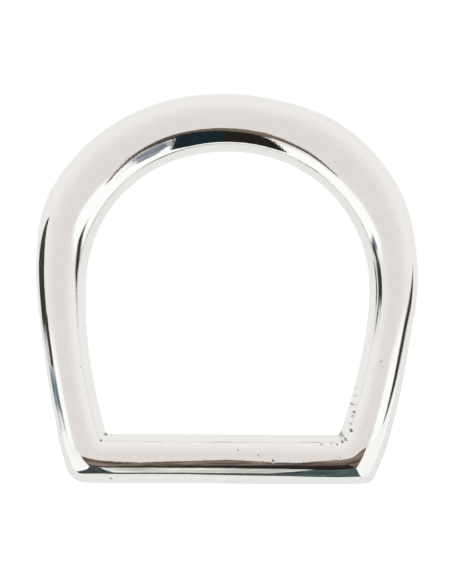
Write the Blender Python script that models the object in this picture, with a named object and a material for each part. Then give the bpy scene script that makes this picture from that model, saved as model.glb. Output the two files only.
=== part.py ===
"""Stirrup iron: a bent round bar (the bow) closed by a straight tread bar,
joined at two welded mitres.

X is the width, -Y the front, +Z up. The underside of the tread is at Z = 0.
"""
import math
from collections import namedtuple

import bmesh
import bpy
from mathutils import Matrix, Vector

MM = 0.001

# Driving dimensions, metres
TREAD_SPAN = 101.6 * MM        # clear inside width between the branches at the tread
TREAD_SHIFT = 2.4 * MM         # middle of the tread, left of the middle of the arch
TREAD_DIAMETER = 21.6 * MM
TREAD_FLAT_WIDTH = 4.0 * MM    # flats dressed on the top and underside of the tread
SPRING_HEIGHT = 62.8 * MM      # from the tread's top to the widest level of the opening
ARCH_FLARE = 11.5 * MM         # opening wider than the tread span, on each side
ARCH_RISE = 61.0 * MM          # inside rise of the arch above its widest level
CROWN_WIDTH = 25.1 * MM
SHOULDER_WIDTH = 26.5 * MM
WAIST_WIDTH = 19.9 * MM
WELD_THICKNESS = 1.0 * MM
JOINT_GAP = 0.3 * MM

# Hand-formed differences between the two branches
LEFT_TURN = math.radians(0.5)         # arch carried on below its widest level
RIGHT_TURN = math.radians(7.0)
LEFT_SHOULDER_ANGLE = math.radians(40.0)   # above the widest level
RIGHT_SHOULDER_ANGLE = math.radians(50.0)
LEFT_WAIST_PLACE = 0.30               # share of the branch, from its top
RIGHT_WAIST_PLACE = 0.30
LEFT_CORNER_RADIUS = 8.8 * MM
RIGHT_CORNER_RADIUS = 5.5 * MM

# Fineness of the shapes
BOW_SIDES = 32
TREAD_SIDES = 64
ARCH_STEPS = 24                # on each side of the crown
BRANCH_STEPS = 12
CORNER_STEPS = 8
MERGE_DISTANCE = 0.00002
SMOOTH_ANGLE = math.radians(30.0)

# Sizes that follow from those above
FOOT_WIDTH = TREAD_DIAMETER           # the mitred ends meet flush
BAR_DEPTH = TREAD_DIAMETER
ARCH_HALF_SPAN = TREAD_SPAN / 2 + ARCH_FLARE
TREAD_RADIUS = TREAD_DIAMETER / 2
TREAD_AXIS_Z = math.sqrt(TREAD_RADIUS ** 2 - (TREAD_FLAT_WIDTH / 2) ** 2)
TREAD_FLAT_Z = 2 * TREAD_AXIS_Z
TREAD_TOP_Z = TREAD_AXIS_Z + TREAD_RADIUS
SPRING_Z = TREAD_TOP_Z + SPRING_HEIGHT
OVERRUN = TREAD_DIAMETER              # bar left long before its mitre is cut
BLOCK = 4 * (ARCH_HALF_SPAN + SHOULDER_WIDTH)
MITRE_SET_BACK = WELD_THICKNESS / 2 + JOINT_GAP

Side = namedtuple("Side", "name sign half_span turn shoulder waist corner_radius")
LEFT = Side("left", -1, TREAD_SPAN / 2 + TREAD_SHIFT, LEFT_TURN, LEFT_SHOULDER_ANGLE,
            LEFT_WAIST_PLACE, LEFT_CORNER_RADIUS)
RIGHT = Side("right", 1, TREAD_SPAN / 2 - TREAD_SHIFT, RIGHT_TURN, RIGHT_SHOULDER_ANGLE,
             RIGHT_WAIST_PLACE, RIGHT_CORNER_RADIUS)

COLLECTION = "stirrup_iron"
CUTTERS = "cutters"


def clear_scene():
    for obj in list(bpy.data.objects):
        bpy.data.objects.remove(obj, do_unlink=True)
    for group in list(bpy.data.collections):
        bpy.data.collections.remove(group)


def new_collection(name):
    group = bpy.data.collections.new(name)
    bpy.context.scene.collection.children.link(group)
    return group


def metal(name, colour, roughness):
    mat = bpy.data.materials.new(name)
    mat.use_nodes = True
    shader = mat.node_tree.nodes["Principled BSDF"]
    shader.inputs["Base Color"].default_value = (*colour, 1.0)
    shader.inputs["Roughness"].default_value = roughness
    shader.inputs["Metallic"].default_value = 1.0
    mat.diffuse_color = (*colour, 1.0)
    return mat


def ease(start, end, share):
    """Value between start and end that leaves and arrives level."""
    share = min(max(share, 0.0), 1.0)
    return start + (end - start) * (1 - math.cos(math.pi * share)) / 2


def branch_shape(side):
    """Start point, first lean, last lean and radius of a branch's inside edge."""
    start_x = ARCH_HALF_SPAN * math.cos(side.turn)
    start_z = SPRING_Z - ARCH_RISE * math.sin(side.turn)
    lean = math.atan2(ARCH_HALF_SPAN * math.sin(side.turn), ARCH_RISE * math.cos(side.turn))
    drop = start_z - TREAD_TOP_Z
    inset = start_x - side.half_span
    last = 2 * math.atan2(inset, drop) - lean
    radius = drop / (math.sin(last) - math.sin(lean))
    return start_x, start_z, lean, last, radius


def width_at(side, distance):
    """Bar width at a distance along the inside edge, above (+) the widest level."""
    _, _, lean, last, radius = branch_shape(side)
    crown = ARCH_HALF_SPAN * math.pi / 2
    shoulder = ARCH_HALF_SPAN * side.shoulder
    branch_top = -ARCH_HALF_SPAN * side.turn
    length = radius * (last - lean)
    waist = branch_top - side.waist * length
    foot = branch_top - length
    if distance > shoulder:
        return ease(SHOULDER_WIDTH, CROWN_WIDTH, (distance - shoulder) / (crown - shoulder))
    if distance > waist:
        return ease(SHOULDER_WIDTH, WAIST_WIDTH, (shoulder - distance) / (shoulder - waist))
    return ease(WAIST_WIDTH, FOOT_WIDTH, (waist - distance) / (waist - foot))


def arch_station(side, angle):
    """Centre of the bar and its width at an angle above the widest level."""
    point = Vector((side.sign * ARCH_HALF_SPAN * math.cos(angle), 0.0,
                    SPRING_Z + ARCH_RISE * math.sin(angle)))
    normal = Vector((side.sign * math.cos(angle) / ARCH_HALF_SPAN, 0.0,
                     math.sin(angle) / ARCH_RISE)).normalized()
    width = width_at(side, ARCH_HALF_SPAN * angle)
    return point + normal * width / 2, width


def branch_station(side, share):
    """Centre of the bar and its width at a share of the branch's length."""
    start_x, start_z, lean, last, radius = branch_shape(side)
    angle = lean + (last - lean) * share
    inward = radius * (math.cos(lean) - math.cos(angle))
    down = radius * (math.sin(angle) - math.sin(lean))
    point = Vector((side.sign * (start_x - inward), 0.0, start_z - down))
    normal = Vector((side.sign * math.cos(angle), 0.0, -math.sin(angle)))
    width = width_at(side, -ARCH_HALF_SPAN * side.turn - radius * (angle - lean))
    return point + normal * width / 2, width


def foot_directions(side):
    """Outward and downward directions of the bar where it meets the tread."""
    last = branch_shape(side)[3]
    outward = Vector((side.sign * math.cos(last), 0.0, -math.sin(last)))
    down = Vector((-side.sign * math.sin(last), 0.0, -math.cos(last)))
    return outward, down


def half_bow(side):
    """Centre points and widths of the bar from the crown down past one foot."""
    line = []
    for step in range(ARCH_STEPS + 1):
        angle = math.pi / 2 - (side.turn + math.pi / 2) * step / ARCH_STEPS
        line.append(arch_station(side, angle))
    for step in range(1, BRANCH_STEPS + 1):
        line.append(branch_station(side, step / BRANCH_STEPS))
    _, down = foot_directions(side)
    line.append((line[-1][0] + down * OVERRUN, FOOT_WIDTH))
    return line


def mitre(side):
    """Inside and outside corner of the joint at one end of the tread."""
    outward, down = foot_directions(side)
    inside = Vector((side.sign * side.half_span, 0.0, TREAD_TOP_Z))
    reach = (TREAD_DIAMETER + FOOT_WIDTH * outward.z) / -down.z
    outside = inside + outward * FOOT_WIDTH + down * reach
    return inside, outside


def link(obj, group, mat=None):
    group.objects.link(obj)
    if mat is not None:
        obj.data.materials.append(mat)
    return obj


def make_bow(group, mat):
    line = half_bow(LEFT)[::-1] + half_bow(RIGHT)[1:]
    curve = bpy.data.curves.new("bow_line", "CURVE")
    curve.dimensions = "3D"
    curve.bevel_depth = 1.0
    curve.bevel_resolution = BOW_SIDES // 2 - 2
    curve.use_fill_caps = True
    spline = curve.splines.new("POLY")
    spline.points.add(len(line) - 1)
    for spot, (centre, width) in zip(spline.points, line):
        spot.co = (*centre, 1.0)
        spot.radius = width / 2
    carrier = bpy.data.objects.new("bow_line", curve)
    group.objects.link(carrier)
    bpy.context.view_layer.update()
    ready = carrier.evaluated_get(bpy.context.evaluated_depsgraph_get())
    mesh = bpy.data.meshes.new_from_object(ready)
    mesh.name = "bow"
    bow = bpy.data.objects.new("bow", mesh)
    bow.matrix_world = carrier.matrix_world
    bpy.data.objects.remove(carrier, do_unlink=True)
    bpy.data.curves.remove(curve)
    even_depth(mesh, line)
    mesh.materials.clear()
    return link(bow, group, mat)


def even_depth(mesh, line):
    """Give the swept bar the same depth all round, whatever its width."""
    form = bmesh.new()
    form.from_mesh(mesh)
    bmesh.ops.remove_doubles(form, verts=form.verts, dist=MERGE_DISTANCE)
    for vert in form.verts:
        width = min(line, key=lambda spot: (spot[0] - vert.co).length_squared)[1]
        vert.co.y *= BAR_DEPTH / width
    bmesh.ops.recalc_face_normals(form, faces=form.faces)
    form.to_mesh(mesh)
    form.free()


def round_bar(name, group, mat, low_x, high_x):
    """Round bar along X on the tread's axis."""
    mesh = bpy.data.meshes.new(name)
    form = bmesh.new()
    bmesh.ops.create_cone(form, cap_ends=True, segments=TREAD_SIDES, radius1=TREAD_RADIUS,
                          radius2=TREAD_RADIUS, depth=high_x - low_x)
    bmesh.ops.rotate(form, verts=form.verts, cent=(0, 0, 0),
                     matrix=Matrix.Rotation(math.pi / 2, 3, "Y"))
    bmesh.ops.translate(form, verts=form.verts, vec=((low_x + high_x) / 2, 0, TREAD_AXIS_Z))
    form.to_mesh(mesh)
    form.free()
    return link(bpy.data.objects.new(name, mesh), group, mat)


def block(name, group, size, place, matrix=None):
    """Box of a given size, centred on place before its matrix is applied."""
    mesh = bpy.data.meshes.new(name)
    form = bmesh.new()
    bmesh.ops.create_cube(form, size=1.0)
    bmesh.ops.scale(form, verts=form.verts, vec=size)
    bmesh.ops.translate(form, verts=form.verts, vec=place)
    if matrix is not None:
        bmesh.ops.transform(form, verts=form.verts, matrix=matrix)
    form.to_mesh(mesh)
    form.free()
    obj = link(bpy.data.objects.new(name, mesh), group)
    obj.hide_render = True
    obj.display_type = "WIRE"
    return obj


def mitre_frame(inside, outside):
    """Matrix whose Z runs up the mitre line and whose X crosses it toward +X."""
    up = (inside - outside).normalized()
    back = Vector((0, 1, 0))
    across = back.cross(up).normalized()
    basis = Matrix((across, back, up)).transposed().to_4x4()
    return Matrix.Translation((inside + outside) / 2) @ basis


def dressing_form(group):
    """Prism that trims the underside flat and rounds the two bottom corners."""
    top = SPRING_Z + ARCH_RISE + 2 * SHOULDER_WIDTH
    prism = block("dressing_form", group, (1, BLOCK, top), (0, 0, top / 2))
    form = bmesh.new()
    form.from_mesh(prism.data)
    for side in (LEFT, RIGHT):
        lean = branch_shape(side)[3]
        spread = math.tan(lean) * top
        edge = mitre(side)[1].x + side.sign * JOINT_GAP
        for vert in [v for v in form.verts if v.co.x * side.sign > 0]:
            vert.co.x = edge + side.sign * (spread if vert.co.z > top / 2 else 0.0)
        edges = [e for e in form.edges
                 if all(v.co.z < top / 2 and v.co.x * side.sign > 0 for v in e.verts)]
        setback = side.corner_radius / math.tan((math.pi / 2 + lean) / 2)
        bmesh.ops.bevel(form, geom=edges, offset=setback, segments=CORNER_STEPS,
                        profile=0.5, affect="EDGES", offset_type="OFFSET")
    form.to_mesh(prism.data)
    form.free()
    return prism


def cut(obj, tool, operation):
    modifier = obj.modifiers.new(operation.lower(), "BOOLEAN")
    modifier.operation = operation
    modifier.solver = "EXACT"
    modifier.object = tool


def apply_cuts(obj):
    """Turn an object's modifiers into its mesh and weld it."""
    bpy.context.view_layer.update()
    ready = obj.evaluated_get(bpy.context.evaluated_depsgraph_get())
    mesh = bpy.data.meshes.new_from_object(ready)
    mesh.name = obj.name
    obj.modifiers.clear()
    obj.data = mesh
    form = bmesh.new()
    form.from_mesh(mesh)
    bmesh.ops.remove_doubles(form, verts=form.verts, dist=MERGE_DISTANCE)
    bmesh.ops.recalc_face_normals(form, faces=form.faces)
    form.to_mesh(mesh)
    form.free()
    mesh.shade_smooth()
    mesh.set_sharp_from_angle(angle=SMOOTH_ANGLE)


def make_weld(name, group, cutters, mat, side, dressing, top_trim):
    """Weld metal between the mitred ends, a thin slice of the round bar."""
    inside, outside = mitre(side)
    low_x = min(inside.x, outside.x) - OVERRUN
    high_x = max(inside.x, outside.x) + OVERRUN
    joint = round_bar(name, group, mat, low_x, high_x)
    slab = block(f"{name}_slab", cutters, (WELD_THICKNESS, BLOCK, BLOCK), (0, 0, 0),
                 mitre_frame(inside, outside))
    cut(joint, slab, "INTERSECT")
    cut(joint, dressing, "INTERSECT")
    cut(joint, top_trim, "DIFFERENCE")
    return joint


def tread_top_trim(cutters):
    """Block above the tread's top flat."""
    return block("tread_top_trim", cutters, (BLOCK, BLOCK, TREAD_DIAMETER),
                 (0, 0, TREAD_FLAT_Z + TREAD_DIAMETER / 2))


def centre_on_width(parts):
    """Put the middle of the overall width on X = 0."""
    edges = [(obj.matrix_world @ vert.co).x for obj in parts for vert in obj.data.vertices]
    shift = -(min(edges) + max(edges)) / 2
    for obj in parts:
        obj.data.transform(Matrix.Translation((shift, 0, 0)))


def cut_mitre(bow, tread, cutters, side):
    """Cut the bow's foot and the tread's end back from one mitre plane."""
    frame = mitre_frame(*mitre(side))
    offset = side.sign * (BLOCK / 2 - MITRE_SET_BACK)
    beyond = block(f"{side.name}_tread_mitre", cutters, (BLOCK, BLOCK, BLOCK),
                   (offset, 0, 0), frame)
    cut(tread, beyond, "DIFFERENCE")
    inner = block(f"{side.name}_bow_mitre", cutters, (BLOCK, BLOCK, BLOCK),
                  (-offset, 0, 0), frame)
    zone = block(f"{side.name}_foot_zone", cutters, (BLOCK, BLOCK, SPRING_Z + OVERRUN),
                 (side.sign * BLOCK / 2, 0, (SPRING_Z - OVERRUN) / 2))
    cut(inner, zone, "INTERSECT")
    cut(bow, inner, "DIFFERENCE")


def build():
    clear_scene()
    group = new_collection(COLLECTION)
    cutters = new_collection(CUTTERS)
    bar_metal = metal("polished_bar", (0.86, 0.84, 0.82), 0.05)
    tread_metal = metal("polished_tread", (0.85, 0.83, 0.81), 0.06)
    left_metal = metal("left_weld_metal", (0.74, 0.72, 0.68), 0.16)
    right_metal = metal("right_weld_metal", (0.74, 0.72, 0.67), 0.18)

    dressing = dressing_form(cutters)
    top_trim = tread_top_trim(cutters)
    bow = make_bow(group, bar_metal)
    tread = round_bar("tread_bar", group, tread_metal, mitre(LEFT)[1].x - OVERRUN,
                      mitre(RIGHT)[1].x + OVERRUN)
    cut_mitre(bow, tread, cutters, LEFT)
    cut_mitre(bow, tread, cutters, RIGHT)
    cut(bow, dressing, "INTERSECT")
    cut(tread, dressing, "INTERSECT")
    cut(tread, top_trim, "DIFFERENCE")
    parts = [
        bow,
        tread,
        make_weld("left_weld", group, cutters, left_metal, LEFT, dressing, top_trim),
        make_weld("right_weld", group, cutters, right_metal, RIGHT, dressing, top_trim),
    ]
    for obj in parts:
        apply_cuts(obj)
    centre_on_width(parts)


build()
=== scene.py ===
"""Visual model of the stirrup iron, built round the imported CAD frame."""
import math

import bpy
import numpy as np
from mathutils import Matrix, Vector, noise


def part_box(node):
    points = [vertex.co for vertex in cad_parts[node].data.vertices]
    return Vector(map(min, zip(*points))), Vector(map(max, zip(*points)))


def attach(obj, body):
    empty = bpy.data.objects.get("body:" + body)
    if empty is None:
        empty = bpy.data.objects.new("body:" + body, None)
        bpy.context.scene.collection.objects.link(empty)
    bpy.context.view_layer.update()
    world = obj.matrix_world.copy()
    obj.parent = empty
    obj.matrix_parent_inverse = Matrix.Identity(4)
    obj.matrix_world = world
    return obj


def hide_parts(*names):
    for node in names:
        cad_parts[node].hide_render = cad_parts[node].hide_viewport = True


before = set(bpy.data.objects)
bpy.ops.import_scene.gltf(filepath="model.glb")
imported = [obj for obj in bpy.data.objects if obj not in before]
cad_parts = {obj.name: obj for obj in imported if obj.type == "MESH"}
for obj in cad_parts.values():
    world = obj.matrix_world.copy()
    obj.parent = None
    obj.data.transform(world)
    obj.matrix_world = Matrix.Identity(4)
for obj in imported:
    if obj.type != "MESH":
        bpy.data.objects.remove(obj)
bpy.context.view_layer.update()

MM = 0.001

# ---------------------------------------------------------------- sizes, metres
BOW_LOW, BOW_HIGH = (Vector(corner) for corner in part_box("bow"))
TREAD_HIGH = Vector(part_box("tread_bar")[1])

HALF_DEPTH = (BOW_HIGH.y - BOW_LOW.y) / 2
TREAD_TOP = TREAD_HIGH.z + 0.1 * MM
ARCH_X = 0.16 * MM                  # middle of the arch
SPRING_Z = TREAD_TOP + 62.8 * MM    # widest level of the opening
ARCH_HALF = 62.25 * MM              # inside half width of the arch
ARCH_RISE = 61.35 * MM              # inside rise of the arch
FILLET = 0.6 * MM                   # inside corners
RING = 120                          # points round the section
HALF_STEPS = 320                    # sections from the crown to one foot
FAN_STEPS = 60                      # sections on each stretch of a corner
TREAD_STEPS = 300                   # sections along the tread
WELD_HALF = 8                       # sections on each side of a weld's middle
# section power of the inside and outside half (2 is an ellipse and more is squarer),
# then how far each half is flattened
ARCH_SECTION = (2.1, 2.2, 0.11, 0.0)
TREAD_SECTION = (2.3, 2.0, 0.0, 0.0)
FLOW = 4.0 * MM                     # how softly the front face turns the corners
WAVES = ((0.10, 27.0), (0.03, 75.0), (0.008, 170.0))    # height (mm) and noise scale
PIT_DEPTH = 0.07 * MM
FRONT_LIMIT = 2 * MM                # pits lie in front of this depth

# bar widths are (place, mm); place 0 is the crown, 1 the end of the arch, 2 the foot
LEFT = {"sign": -1, "section": (2.05, 2.05, 0.0, 0.08), "foot": 53.0 * MM,
        "turn": math.radians(0.5), "square": 2.09, "lean": math.radians(14.5),
        "corner": 8.8 * MM,
        "widths": ((0.0, 24.7), (0.22, 25.5), (0.44, 26.1), (0.64, 26.2), (0.77, 24.6),
                   (0.88, 22.2), (1.0, 20.8), (1.18, 20.1), (1.45, 19.3), (1.8, 19.6),
                   (2.0, 20.6))}
RIGHT = {"sign": 1, "section": (2.05, 2.1, 0.0, 0.02), "foot": 48.8 * MM,
         "turn": math.radians(7.0), "square": 2.05, "lean": math.radians(21.0),
         "corner": 5.5 * MM,
         "widths": ((0.0, 24.7), (0.12, 24.4), (0.36, 25.7), (0.5, 25.3), (0.62, 24.6),
                    (0.82, 21.5), (1.0, 20.0), (1.2, 19.5), (1.5, 19.9), (1.75, 20.4),
                    (2.0, 21.2))}

# casting pits on the front, at places read off the photograph: x, z, radius (mm), strength
PITS = (
    (-54, 19.5, 0.55, 1), (-52.5, 21.6, 0.7, 1), (-50.1, 21.7, 0.5, 0.9),
    (-51.1, 22.8, 1.3, 0.55), (49.6, 19.4, 0.6, 1), (50.9, 20.4, 0.65, 1),
    (47.4, 18.3, 0.5, 0.9), (44.9, 18.7, 0.45, 0.8), (40.6, 18.4, 0.45, 0.8),
    (53.3, 24.3, 0.7, 1), (54.7, 32, 0.6, 0.9), (54.1, 35.1, 0.55, 0.8), (49.4, 21.9, 1.5, 0.6),
    (56.1, 42.3, 0.9, 0.35), (55.6, 38.9, 0.9, 0.4), (55, 35, 1, 0.4), (54.1, 30.3, 1, 0.45),
    (53.1, 26.9, 1, 0.45), (-49.7, 3.3, 0.6, 0.9), (20, 11.8, 0.6, 1), (13.6, 14.2, 0.45, 0.8),
    (5, 16.1, 0.4, 0.7), (72.8, 109.6, 0.4, 0.7), (65.9, 53.9, 0.4, 0.7),
    (-62.7, 51.3, 0.4, 0.7), (48.3, 13.1, 0.45, 0.7))


def add_object(name, data):
    """New object in the scene."""
    obj = bpy.data.objects.new(name, data)
    bpy.context.scene.collection.objects.link(obj)
    return obj


def vec(x, z):
    """Point in the iron's middle plane."""
    return np.array([x, 0.0, z])


def blend(first, second, share):
    """Tuple between two tuples, with a soft start and end."""
    share = share * share * (3 - 2 * share)
    return tuple(a + (b - a) * share for a, b in zip(first, second))


def spline_value(knots, place):
    """Smooth value through knots (place, value), level where the knots turn."""
    if place <= knots[0][0]:
        return knots[0][1]
    slopes = [0.0]
    for (xa, ya), (xb, yb), (xc, yc) in zip(knots, knots[1:], knots[2:]):
        before = (yb - ya) / (xb - xa)
        after = (yc - yb) / (xc - xb)
        rising = before * after > 0
        slopes.append(2 * before * after / (before + after) if rising else 0.0)
    slopes.append(0.0)
    for i, ((xa, ya), (xb, yb)) in enumerate(zip(knots, knots[1:])):
        if place <= xb:
            h = xb - xa
            t = (place - xa) / h
            return ((2 * t ** 3 - 3 * t ** 2 + 1) * ya + (t ** 3 - 2 * t ** 2 + t) * h * slopes[i]
                    + (3 * t ** 2 - 2 * t ** 3) * yb + (t ** 3 - t ** 2) * h * slopes[i + 1])
    return knots[-1][1]


def arch_edge(side, angle):
    """Point and outward normal on the arch's inside edge, a slightly squared ellipse."""
    power = side["square"]
    cos, sin = math.cos(angle), math.sin(angle)
    stretch = (abs(cos) ** power + abs(sin) ** power) ** (-1 / power)
    x, z = cos * stretch, sin * stretch
    normal = vec(side["sign"] * math.copysign(abs(x) ** (power - 1), x) / ARCH_HALF,
                 math.copysign(abs(z) ** (power - 1), z) / ARCH_RISE)
    point = vec(side["sign"] * ARCH_HALF * x, SPRING_Z + ARCH_RISE * z)
    return point, normal / np.linalg.norm(normal)


def branch(side):
    """Start, first lean, last lean and radius of the branch's inside edge."""
    start, normal = arch_edge(side, -side["turn"])
    lean = math.atan2(-normal[2], side["sign"] * normal[0])
    start_x = side["sign"] * start[0]
    drop = start[2] - TREAD_TOP
    last = 2 * math.atan2(start_x - side["foot"], drop) - lean
    radius = drop / (math.sin(last) - math.sin(lean))
    return start_x, start[2], lean, last, radius


def inner_edge(side, place):
    """Inside edge and outward normal at a place from 0 (crown) to 2 (foot)."""
    sign = side["sign"]
    if place <= 1:
        return arch_edge(side, math.pi / 2 - (math.pi / 2 + side["turn"]) * place)
    start_x, start_z, lean, last, radius = branch(side)
    angle = lean + (last - lean) * (place - 1)
    point = vec(sign * (start_x - radius * (math.cos(lean) - math.cos(angle))),
                start_z - radius * (math.sin(angle) - math.sin(lean)))
    return point, vec(sign * math.cos(angle), -math.sin(angle))


def fillet_centre(side):
    """Centre of the small fillet in the inside corner, and the branch's outward normal."""
    sign = side["sign"]
    last = branch(side)[3]
    shift = FILLET * (1 - math.sin(last)) / math.cos(last)
    centre = vec(sign * (side["foot"] - shift), TREAD_TOP + FILLET)
    return centre, vec(sign * math.cos(last), -math.sin(last))


def half_stations(side):
    """Sections from the crown to the foot, as inside and outside points."""
    centre, normal = fillet_centre(side)
    end_z = (centre + FILLET * normal)[2]
    stations = []
    for step in range(HALF_STEPS + 1):
        place = 2 * step / HALF_STEPS
        point, out = inner_edge(side, place)
        if place > 1 and point[2] < end_z:
            break
        section = blend(ARCH_SECTION, side["section"], min(1.0, max(0.0, place - 0.3) / 0.5))
        section = blend(section, TREAD_SECTION, min(1.0, max(0.0, place - 1.5) / 1.0))
        stations.append((point, point + out * spline_value(side["widths"], place) * MM, section))
    return stations


def corner_stations(side, foot_outside):
    """Sections that fan round the inside corner while the outside turns a rounded corner."""
    sign = side["sign"]
    lean = side["lean"]
    radius = side["corner"]
    down = vec(-sign * math.sin(lean), -math.cos(lean))
    tip = foot_outside + down * (foot_outside[2] / math.cos(lean))
    setback = radius / math.tan((math.pi / 2 + lean) / 2)
    start = tip - down * setback
    end = tip - vec(sign * setback, 0)
    middle = end + vec(0, radius)
    first = math.atan2(start[2] - middle[2], sign * (start[0] - middle[0]))
    outline = [foot_outside + (start - foot_outside) * i / FAN_STEPS for i in range(1, FAN_STEPS)]
    for i in range(FAN_STEPS):
        angle = first + (-math.pi / 2 - first) * i / FAN_STEPS
        outline.append(middle + radius * vec(sign * math.cos(angle), math.sin(angle)))
    centre, _ = fillet_centre(side)
    last = vec(centre[0], 0)
    outline += [end + (last - end) * i / FAN_STEPS for i in range(FAN_STEPS + 1)]
    stations = []
    for i, spot in enumerate(outline):
        ray = (spot - centre) / np.linalg.norm(spot - centre)
        section = blend(side["section"], TREAD_SECTION, 0.5 + 0.5 * i / (len(outline) - 1))
        stations.append((centre + ray * FILLET, spot, section))
    return stations


def loop_stations():
    """Inside points, outside points and shapes of all sections, clockwise from the crown.

    Also the section in the middle of the right weld and of the left weld.
    """
    right = half_stations(RIGHT)
    left = half_stations(LEFT)
    right_corner = corner_stations(RIGHT, right[-1][1])
    left_corner = corner_stations(LEFT, left[-1][1])
    start, end = right_corner[-1], left_corner[-1]
    tread = [(start[0] + (end[0] - start[0]) * i / TREAD_STEPS,
              start[1] + (end[1] - start[1]) * i / TREAD_STEPS, TREAD_SECTION)
             for i in range(1, TREAD_STEPS)]
    weld_place = FAN_STEPS * 3 // 2
    weld_right = len(right) + weld_place
    stations = right + right_corner + tread
    weld_left = len(stations) + len(left_corner) - weld_place
    stations += left_corner[::-1] + left[::-1][:-1]
    inside = np.array([s[0] for s in stations])
    outside = np.array([s[1] for s in stations])
    sections = np.array([s[2] for s in stations])
    return inside, outside, sections, weld_right, weld_left


def build_grid():
    """Grid of surface points: station by station round the loop, RING points each."""
    inside, outside, sections, weld_right, weld_left = loop_stations()
    middle = (inside + outside) / 2
    axis = (outside - inside) / 2
    turn = 2 * np.pi * np.arange(RING) / RING
    cos, sin = np.cos(turn)[None, :], np.sin(turn)[None, :]
    power = np.where(cos < 0, sections[:, :1], sections[:, 1:2])
    across = np.sign(cos) * np.abs(cos) ** (2 / power)
    flat = np.where(cos < 0, sections[:, 2:3], sections[:, 3:])
    across = across * (1 + flat * (1 - np.abs(across) ** 8))
    deep = np.sign(sin) * np.abs(sin) ** (2 / power)
    grid = (middle[:, None, :] + axis[:, None, :] * across[:, :, None]
            + np.array([0, -HALF_DEPTH, 0])[None, None, :] * deep[:, :, None])
    steps = np.linalg.norm(np.roll(middle, -1, axis=0) - middle, axis=1)
    travel = np.concatenate([[0], np.cumsum(steps)[:-1]])
    total = steps.sum()
    gap = np.abs(travel[:, None] - travel[None, :])
    gap = np.minimum(gap, total - gap)
    weight = np.exp(-gap ** 2 / (2 * FLOW ** 2)) * (steps + np.roll(steps, 1))[None, :]
    weight /= weight.sum(axis=1, keepdims=True)
    soft = np.einsum("ij,jkc->ikc", weight, grid, optimize=True)
    share = (np.abs(deep) ** 1.2)[:, :, None]
    grid = grid * (1 - share) + soft * share
    grid[:, :, 0] += ARCH_X
    return grid, weld_right, weld_left


def grid_normals(grid):
    """Outward normal at each point of the grid."""
    along = np.roll(grid, -1, axis=0) - np.roll(grid, 1, axis=0)
    round_ = np.roll(grid, -1, axis=1) - np.roll(grid, 1, axis=1)
    normals = np.cross(along, round_)
    normals /= np.linalg.norm(normals, axis=2, keepdims=True) + 1e-18
    centre = grid.mean(axis=1, keepdims=True)
    if np.mean(np.sum((grid - centre) * normals, axis=2)) < 0:
        normals = -normals
    return normals


def undulate(grid):
    """Slow waves left by hand polishing."""
    normals = grid_normals(grid)
    lift = np.empty(grid.shape[:2])
    for i in range(grid.shape[0]):
        for k in range(grid.shape[1]):
            point = Vector(grid[i, k])
            lift[i, k] = sum(high * noise.noise(point * scale) for high, scale in WAVES) * MM
    return grid + normals * lift[:, :, None]


def dent(grid):
    """Sink the pits into the front and return how strong they are at each point."""
    normals = grid_normals(grid)
    depth = np.zeros(grid.shape[:2])
    front = grid[:, :, 1] < FRONT_LIMIT
    for x, z, radius, strength in PITS:
        away = np.hypot(grid[:, :, 0] - x * MM, grid[:, :, 2] - z * MM) / (radius * MM)
        depth = np.maximum(depth, np.where(front, strength * np.exp(-away ** 2), 0.0))
    return grid - normals * (PIT_DEPTH * depth)[:, :, None], depth


def smooth_walls(mesh, rings):
    """Give the walls the grid's own normals and keep the two caps flat."""
    loops = np.empty(len(mesh.loops) * 3)
    mesh.loops.foreach_get("normal", loops)
    loops = loops.reshape(-1, 3)
    index = np.empty(len(mesh.loops), dtype=np.int32)
    mesh.loops.foreach_get("vertex_index", index)
    wall = len(mesh.loops) - 2 * RING
    loops[:wall] = rings[index[:wall]]
    for cap in mesh.polygons[-2:]:
        for corner in cap.loop_indices:
            loops[corner] = cap.normal
    mesh.normals_split_custom_set([tuple(normal) for normal in loops])


def piece(name, cad_node, surface, first, last, material):
    """Closed solid from section first to section last, going round the loop."""
    grid, normals, pits = surface
    count = grid.shape[0]
    rows = [i % count for i in range(first, last + 1)]
    points = grid[rows].reshape(-1, 3)
    faces = []
    for r in range(len(rows) - 1):
        for k in range(RING):
            a = r * RING + k
            b = r * RING + (k + 1) % RING
            faces.append((a, b, b + RING, a + RING))
    top = (len(rows) - 1) * RING
    faces.append(tuple(range(RING))[::-1])
    faces.append(tuple(top + k for k in range(RING)))
    mesh = bpy.data.meshes.new(name)
    mesh.from_pydata([tuple(point) for point in points], [], faces)
    mesh.update()
    middle = Vector(points[top:].mean(axis=0))
    ahead = Vector(grid[(last + 3) % count].mean(axis=0)) - middle
    if mesh.polygons[-1].normal.dot(ahead) < 0:
        mesh.flip_normals()
    mesh.shade_smooth()
    smooth_walls(mesh, normals[rows].reshape(-1, 3))
    worn = mesh.attributes.new("pit", "FLOAT", "POINT")
    worn.data.foreach_set("value", pits[rows].ravel())
    mesh.materials.append(material)
    obj = add_object(name, mesh)
    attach(obj, "root")
    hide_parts(cad_node)


# ---------------------------------------------------------------- node helpers
COLOUR_A, COLOUR_B, COLOUR_OUT = 6, 7, 2    # a mix node's sockets for colours
FLOAT_A, FLOAT_B, FLOAT_OUT = 2, 3, 0       # and for plain numbers


def node(tree, kind, **values):
    """New node, with its sockets or settings given by name."""
    made = tree.nodes.new(kind)
    for key, value in values.items():
        if key in made.inputs:
            made.inputs[key].default_value = value
        else:
            setattr(made, key, value)
    return made


def feed(tree, socket, value):
    """Link an output to a socket, or set the socket to a colour or a number."""
    if isinstance(value, bpy.types.NodeSocket):
        tree.links.new(value, socket)
    elif isinstance(value, tuple):
        socket.default_value = (*value, 1)
    else:
        socket.default_value = value


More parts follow.
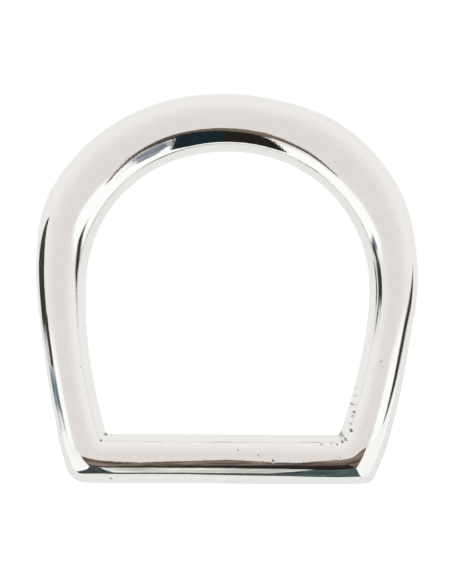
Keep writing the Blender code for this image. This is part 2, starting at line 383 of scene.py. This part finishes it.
def soft_step(tree, value, low, high, first=0.0, second=1.0):
    """Soft step from first to second while the value goes from low to high."""
    made = node(tree, "ShaderNodeMapRange", interpolation_type="SMOOTHSTEP")
    for name, number in (("From Min", low), ("From Max", high), ("To Min", first),
                         ("To Max", second)):
        made.inputs[name].default_value = number
    feed(tree, made.inputs["Value"], value)
    return made.outputs["Result"]


def mix_colour(tree, factor, first, second):
    """Colour between two colours."""
    made = node(tree, "ShaderNodeMix", data_type="RGBA")
    feed(tree, made.inputs["Factor"], factor)
    feed(tree, made.inputs[COLOUR_A], first)
    feed(tree, made.inputs[COLOUR_B], second)
    return made.outputs[COLOUR_OUT]


def math_node(tree, operation, first, second=None):
    """Result of a sum on one or two values."""
    made = node(tree, "ShaderNodeMath", operation=operation)
    feed(tree, made.inputs[0], first)
    if second is not None:
        feed(tree, made.inputs[1], second)
    return made.outputs[0]


# ---------------------------------------------------------------- materials
METAL_TINT = (0.96, 0.955, 0.95)
METAL_ROUGHNESS = 0.03
PIT_COLOUR = (0.17, 0.15, 0.12)
PIT_ROUGHNESS = 0.5


def tinted(red, green, blue):
    """The metal's tint, dimmed a little in each channel."""
    return (METAL_TINT[0] * red, METAL_TINT[1] * green, METAL_TINT[2] * blue)


def polished_metal(name):
    """Polished metal with faint clouds, fine scratches and dark rough pits."""
    mat = bpy.data.materials.new(name)
    mat.use_nodes = True
    tree = mat.node_tree
    shader = tree.nodes["Principled BSDF"]
    shader.inputs["Metallic"].default_value = 1.0
    link = tree.links.new
    coords = tree.nodes.new("ShaderNodeTexCoord")

    def noise_map(scale, detail, low, high, first, second):
        made = node(tree, "ShaderNodeTexNoise", Scale=scale, Detail=detail, Roughness=0.6)
        link(coords.outputs["Object"], made.inputs["Vector"])
        return soft_step(tree, made.outputs["Fac"], low, high, first, second)

    # faint warm and cool clouds in the polish
    clouds = mix_colour(tree, noise_map(90.0, 5.0, 0.35, 0.65, 0.0, 1.0), METAL_TINT,
                        tinted(0.985, 0.995, 0.99))
    clouds = mix_colour(tree, noise_map(420.0, 3.0, 0.3, 0.7, 0.0, 1.0), clouds,
                        tinted(0.97, 0.975, 0.965))

    # pits with ragged edges
    pit = node(tree, "ShaderNodeAttribute", attribute_name="pit")
    ragged = math_node(tree, "MULTIPLY", pit.outputs["Fac"],
                       noise_map(1700.0, 3.0, 0.35, 0.65, 0.25, 1.5))
    mask = soft_step(tree, ragged, 0.22, 0.62)
    link(mix_colour(tree, mask, clouds, PIT_COLOUR), shader.inputs["Base Color"])
    rough = tree.nodes.new("ShaderNodeMix")
    link(mask, rough.inputs["Factor"])
    link(noise_map(260.0, 4.0, 0.35, 0.65, METAL_ROUGHNESS * 0.6, METAL_ROUGHNESS * 1.7),
         rough.inputs[FLOAT_A])
    rough.inputs[FLOAT_B].default_value = PIT_ROUGHNESS
    link(rough.outputs[FLOAT_OUT], shader.inputs["Roughness"])

    # fine grain, and hairline scratches that run along the tread
    bump = node(tree, "ShaderNodeBump", Strength=0.05, Distance=0.00006)
    link(noise_map(1100.0, 3.0, 0.3, 0.7, 0.0, 1.0), bump.inputs["Height"])
    stretch = node(tree, "ShaderNodeMapping", Scale=(60.0, 900.0, 2600.0))
    link(coords.outputs["Object"], stretch.inputs["Vector"])
    lines = node(tree, "ShaderNodeTexNoise", Scale=1.0, Detail=2.0, Roughness=0.5)
    link(stretch.outputs["Vector"], lines.inputs["Vector"])
    scratch = node(tree, "ShaderNodeBump", Strength=0.06, Distance=0.00004)
    link(lines.outputs["Fac"], scratch.inputs["Height"])
    link(bump.outputs["Normal"], scratch.inputs["Normal"])
    link(scratch.outputs["Normal"], shader.inputs["Normal"])
    return mat


# ---------------------------------------------------------------- surroundings
WHITE = (1.03, 1.04, 1.03)


def make_world():
    """Plain white for the camera and diffuse light, and a pale banded room for reflections.

    Angles are in degrees; azimuth is 0 in front and grows to the right.
    """
    world = bpy.data.worlds.new("studio")
    bpy.context.scene.world = world
    world.use_nodes = True
    tree = world.node_tree
    tree.nodes.clear()
    link = tree.links.new
    coords = tree.nodes.new("ShaderNodeTexCoord")
    split = tree.nodes.new("ShaderNodeSeparateXYZ")
    link(coords.outputs["Generated"], split.inputs["Vector"])

    def calc(operation, first, second=None):
        return math_node(tree, operation, first, second)

    def smooth(value, low, high):
        return soft_step(tree, value, low, high)

    def fade(value, low, high):
        return calc("SUBTRACT", 1.0, smooth(value, low, high))

    def degrees(value):
        return calc("MULTIPLY", value, 180 / math.pi)

    x, y, z = split.outputs["X"], split.outputs["Y"], split.outputs["Z"]
    toward = calc("MULTIPLY", y, -1.0)
    azimuth = degrees(calc("ARCTAN2", x, toward))
    height = degrees(calc("ARCSINE", z))
    off_axis = degrees(calc("ARCCOSINE", toward))
    fall = calc("DIVIDE", z, calc("SINE", calc("ARCCOSINE", toward)))

    # pale room: warm grey in front, lighter upward and to the sides, pale behind
    room = mix_colour(tree, smooth(off_axis, 12.0, 78.0), (0.785, 0.742, 0.722),
                      (0.905, 0.875, 0.85))
    behind = mix_colour(tree, fade(fall, -0.45, 0.25), (0.875, 0.87, 0.85), (0.83, 0.83, 0.81))
    room = mix_colour(tree, smooth(off_axis, 84.0, 100.0), room, behind)
    bright = calc("MULTIPLY", smooth(off_axis, 37.0, 47.0), fade(off_axis, 78.0, 92.0))
    bright = calc("MULTIPLY", bright, fade(fall, -0.32, -0.08))
    room = mix_colour(tree, bright, room, WHITE)

    def patch(az0, az1, el0, el1, soft_az, soft_el, tilt=0.0):
        lean = calc("MULTIPLY", calc("SUBTRACT", azimuth, (az0 + az1) / 2), tilt)
        level = calc("SUBTRACT", height, lean)
        value = calc("MULTIPLY", smooth(azimuth, az0 - soft_az, az0 + soft_az),
                     fade(azimuth, az1 - soft_az, az1 + soft_az))
        value = calc("MULTIPLY", value, smooth(level, el0 - soft_el, el0 + soft_el))
        return calc("MULTIPLY", value, fade(level, el1 - soft_el, el1 + soft_el))

    speckle = node(tree, "ShaderNodeTexNoise", Scale=38.0, Detail=3.0)
    link(coords.outputs["Generated"], speckle.inputs["Vector"])
    blue_grey = mix_colour(tree, smooth(speckle.outputs["Fac"], 0.38, 0.62),
                           (0.03, 0.045, 0.065), (0.38, 0.43, 0.50))
    room = mix_colour(tree, patch(18, 60, -30, -6, 5, 3), room, WHITE)
    room = mix_colour(tree, patch(-60, -36, -30, -7, 5, 3), room, WHITE)
    room = mix_colour(tree, patch(-98, -60, -16, -10, 3, 1.5), room, blue_grey)
    room = mix_colour(tree, patch(-104, -66, -8, 6, 3, 3), room, (0.045, 0.042, 0.03))
    room = mix_colour(tree, patch(56, 94, -14, -3, 3, 3, 0.42), room, (0.045, 0.036, 0.026))

    reflected = tree.nodes.new("ShaderNodeBackground")
    link(room, reflected.inputs["Color"])
    plain = node(tree, "ShaderNodeBackground", Color=(1.0, 1.0, 1.0, 1), Strength=1.05)
    path = tree.nodes.new("ShaderNodeLightPath")
    choose = tree.nodes.new("ShaderNodeMixShader")
    link(path.outputs["Is Glossy Ray"], choose.inputs[0])
    link(plain.outputs[0], choose.inputs[1])
    link(reflected.outputs[0], choose.inputs[2])
    out = tree.nodes.new("ShaderNodeOutputWorld")
    link(choose.outputs[0], out.inputs["Surface"])


def painted_reflection_card(name, distance, outline, first, second, stretch=(1.2, 1.0, 12.0), beside=False):
    """Streaky card near the iron that glows with painted colours, seen only in the metal's
    reflections: a painted reflection.

    The outline is (x, z) points, or (y, z) points for a card that stands beside the iron.
    """
    mesh = bpy.data.meshes.new(name)
    points = [(-distance, u, z) if beside else (u, -distance, z) for u, z in outline]
    mesh.from_pydata(points, [], [tuple(range(len(outline)))])
    obj = add_object(name, mesh)
    mat = bpy.data.materials.new(name)
    mat.use_nodes = True
    tree = mat.node_tree
    tree.nodes.clear()
    link = tree.links.new
    coords = tree.nodes.new("ShaderNodeTexCoord")
    place = node(tree, "ShaderNodeMapping", Scale=stretch)
    link(coords.outputs["Object"], place.inputs["Vector"])
    streaks = node(tree, "ShaderNodeTexNoise", Scale=1.0, Detail=4.0, Roughness=0.6)
    link(place.outputs["Vector"], streaks.inputs["Vector"])
    ramp = tree.nodes.new("ShaderNodeValToRGB")
    for stop, position, colour in zip(ramp.color_ramp.elements, (0.36, 0.64), (first, second)):
        stop.position = position
        stop.color = (*colour, 1)
    link(streaks.outputs["Fac"], ramp.inputs["Fac"])
    # painted reflection: the card glows in its traced colours, is lit by nothing and lights
    # nothing, and only the metal's reflections see it
    glow = tree.nodes.new("ShaderNodeEmission")
    link(ramp.outputs["Color"], glow.inputs["Color"])
    out = tree.nodes.new("ShaderNodeOutputMaterial")
    link(glow.outputs[0], out.inputs["Surface"])
    mesh.materials.append(mat)
    obj.visible_camera = False
    obj.visible_diffuse = False
    obj.visible_shadow = False


def make_front_reflection_cards():
    """Dark glowing cards low in front, painted reflections for the bands inside the arch, with a
    brown upper edge.
    """
    far = 2.0
    painted_reflection_card("reflection_front_right", far, [(-0.05, -0.4), (0.1, -0.25), (0.4, -0.55), (0.2, -0.7),
                             (1.3, -3.8), (1.3, -6.5), (-0.05, -6.0)],
         (0.008, 0.010, 0.012), (0.015, 0.032, 0.042))
    painted_reflection_card("reflection_front_left", far, [(-0.05, -0.4), (-0.05, -6.0), (-2.2, -6.8), (-2.2, -5.0),
                            (-0.3, -1.05)],
         (0.010, 0.009, 0.008), (0.030, 0.024, 0.018))
    painted_reflection_card("reflection_front_edge", far - 0.002, [(-1.1, -1.0), (-0.3, -0.62), (-0.05, -0.4), (0.1, -0.25),
                                    (0.4, -0.52), (0.9, -0.8), (0.9, -0.9), (0.1, -0.5),
                                    (-0.2, -0.95), (-1.1, -1.1)],
         (0.06, 0.045, 0.032), (0.24, 0.19, 0.14), (3.0, 1.0, 6.0))
    painted_reflection_card("reflection_front_grey", far + 0.003, [(0.2, -0.6), (0.5, -0.75), (1.2, -1.9), (1.2, -2.6),
                                     (0.5, -1.45)],
         (0.08, 0.095, 0.12), (0.40, 0.42, 0.49), (1.8, 1.0, 2.4))


def make_side_reflection_cards():
    """Dark glowing cards on the left, painted reflections for the bands along the two branches.
    """
    dark, lighter = (0.012, 0.012, 0.008), (0.10, 0.095, 0.055)
    grain = (150.0, 150.0, 150.0)
    painted_reflection_card("side_low", 0.30, [(-0.128, 0.008), (-0.128, 0.056), (-0.05, 0.056), (-0.05, 0.012)],
         dark, lighter, grain, beside=True)
    painted_reflection_card("side_high", 0.15, [(-0.04, 0.099), (-0.042, 0.142), (-0.026, 0.135), (0.012, 0.099)],
         dark, lighter, grain, beside=True)


def make_tread_reflection_cards():
    """Glowing strips close in front of the tread, painted reflections for its bands from high to
    low, and for its white ends.
    """
    near = 0.031
    fine, broad = (14.0, 1.0, 420.0), (30.0, 1.0, 150.0)
    painted_reflection_card("strip_pale", near + 0.001, [(-0.2, -0.046), (-0.023, -0.046), (0.04, -0.085),
                                      (0.2, -0.4), (-0.2, -0.4)],
         (0.80, 0.80, 0.78), (0.86, 0.86, 0.84), fine)
    painted_reflection_card("strip_brown", near + 0.0005, [(-0.071, 0.0065), (-0.06, 0.01), (-0.04, 0.007),
                                        (0.0, 0.0115), (0.03, 0.0072), (0.056, 0.0137),
                                        (0.066, 0.0137), (0.066, -0.01), (-0.071, -0.009)],
         (0.045, 0.032, 0.024), (0.30, 0.235, 0.195), (45.0, 1.0, 260.0))
    painted_reflection_card("strip_black", near + 0.0003, [(-0.07, -0.003), (0.0, 0.002), (0.055, 0.0035),
                                        (0.063, -0.011), (0.0, -0.0056), (-0.07, -0.0056)],
         (0.006, 0.007, 0.008), (0.055, 0.032, 0.028), fine)
    painted_reflection_card("strip_light", near + 0.0001, [(-0.06, -0.0055), (0.0, -0.0055), (0.04, -0.0085),
                                        (0.018, -0.03), (-0.06, -0.03)],
         (0.42, 0.42, 0.39), (0.88, 0.88, 0.85), broad)
    painted_reflection_card("strip_teal", near + 0.0002, [(0.0, -0.01), (0.04, -0.008), (0.064, -0.01),
                                       (0.2, -0.4), (0.03, -0.084)],
         (0.012, 0.020, 0.022), (0.13, 0.18, 0.19), broad)
    painted_reflection_card("strip_low", near, [(-0.063, -0.03), (0.018, -0.03), (0.034, -0.016),
                             (0.034, -0.084), (-0.023, -0.046), (-0.065, -0.046)],
         (0.012, 0.016, 0.016), (0.12, 0.14, 0.14), fine)
    painted_reflection_card("strip_left", near - 0.0003, [(-0.066, -0.006), (-0.0585, -0.006), (-0.052, -0.033),
                                       (-0.085, -0.065), (-0.25, -0.26), (-0.25, -0.2),
                                       (-0.074, -0.02)],
         (0.010, 0.013, 0.010), (0.10, 0.12, 0.12), (200.0, 1.0, 200.0))
    # white glowing cards: painted highlights at the two ends of the tread, seen only in
    # reflections
    for name, outline in (
            ("white_left", [(-0.16, 0.012), (-0.0705, 0.0085), (-0.066, -0.0055),
                            (-0.09, -0.038), (-0.25, -0.2)]),
            ("white_right", [(0.0637, 0.0138), (0.063, -0.01), (0.16, -0.19), (0.16, 0.016)])):
        painted_reflection_card(name, near - 0.001, outline, (0.92, 0.92, 0.92), (1.0, 1.0, 1.0))


FLOOR_HALF = 6.0
FLOOR_Z = -0.2 * MM


def make_floor():
    """Plain pale floor, left out of the metal's reflections."""
    mesh = bpy.data.meshes.new("floor")
    corners = ((-1, -1), (1, -1), (1, 1), (-1, 1))
    mesh.from_pydata([(FLOOR_HALF * x, FLOOR_HALF * y, FLOOR_Z) for x, y in corners], [],
                     [(0, 1, 2, 3)])
    floor = add_object("floor", mesh)
    mat = bpy.data.materials.new("pale_floor")
    mat.use_nodes = True
    shader = mat.node_tree.nodes["Principled BSDF"]
    shader.inputs["Base Color"].default_value = (0.97, 0.97, 0.97, 1)
    shader.inputs["Roughness"].default_value = 0.9
    shader.inputs["Specular IOR Level"].default_value = 0.0
    shader.inputs["Emission Color"].default_value = (1.0, 1.0, 1.0, 1)
    shader.inputs["Emission Strength"].default_value = 0.75
    mesh.materials.append(mat)
    floor.visible_glossy = False


# fitted to the photograph's framing
CAMERA_PLACE = Vector((8.9 * MM, -399.0 * MM, 78.3 * MM))
CAMERA_TARGET = Vector((-0.3 * MM, 0.0, 83.5 * MM))
SENSOR_WIDTH = 36.0                 # mm
LENS = 72.637168                    # mm


def make_camera():
    """Camera at the photograph's viewing angle."""
    data = bpy.data.cameras.new("camera")
    camera = add_object("camera", data)
    data.sensor_fit = "HORIZONTAL"
    data.sensor_width = SENSOR_WIDTH
    data.lens = LENS
    data.clip_start = 0.01
    data.clip_end = 50.0
    camera.location = CAMERA_PLACE
    aim = CAMERA_TARGET - CAMERA_PLACE
    camera.rotation_euler = aim.to_track_quat("-Z", "Y").to_euler()
    bpy.context.scene.camera = camera


# ---------------------------------------------------------------- the scene
grid, weld_right, weld_left = build_grid()
grid, pits = dent(undulate(grid))
surface = (grid, grid_normals(grid), pits)
metal = polished_metal("polished_bow")
bow_end = weld_right - WELD_HALF + grid.shape[0]
piece("bow_bar", "bow", surface, weld_left + WELD_HALF, bow_end, metal)
piece("right_weld_metal", "right_weld", surface, weld_right - WELD_HALF,
      weld_right + WELD_HALF, metal)
piece("tread_round", "tread_bar", surface, weld_right + WELD_HALF, weld_left - WELD_HALF, metal)
piece("left_weld_metal", "left_weld", surface, weld_left - WELD_HALF, weld_left + WELD_HALF,
      metal)
make_world()
make_front_reflection_cards()
make_side_reflection_cards()
make_tread_reflection_cards()
make_floor()
make_camera()
scene = bpy.context.scene
scene.view_settings.view_transform = "Standard"
scene.view_settings.look = "None"

bpy.context.view_layer.update()
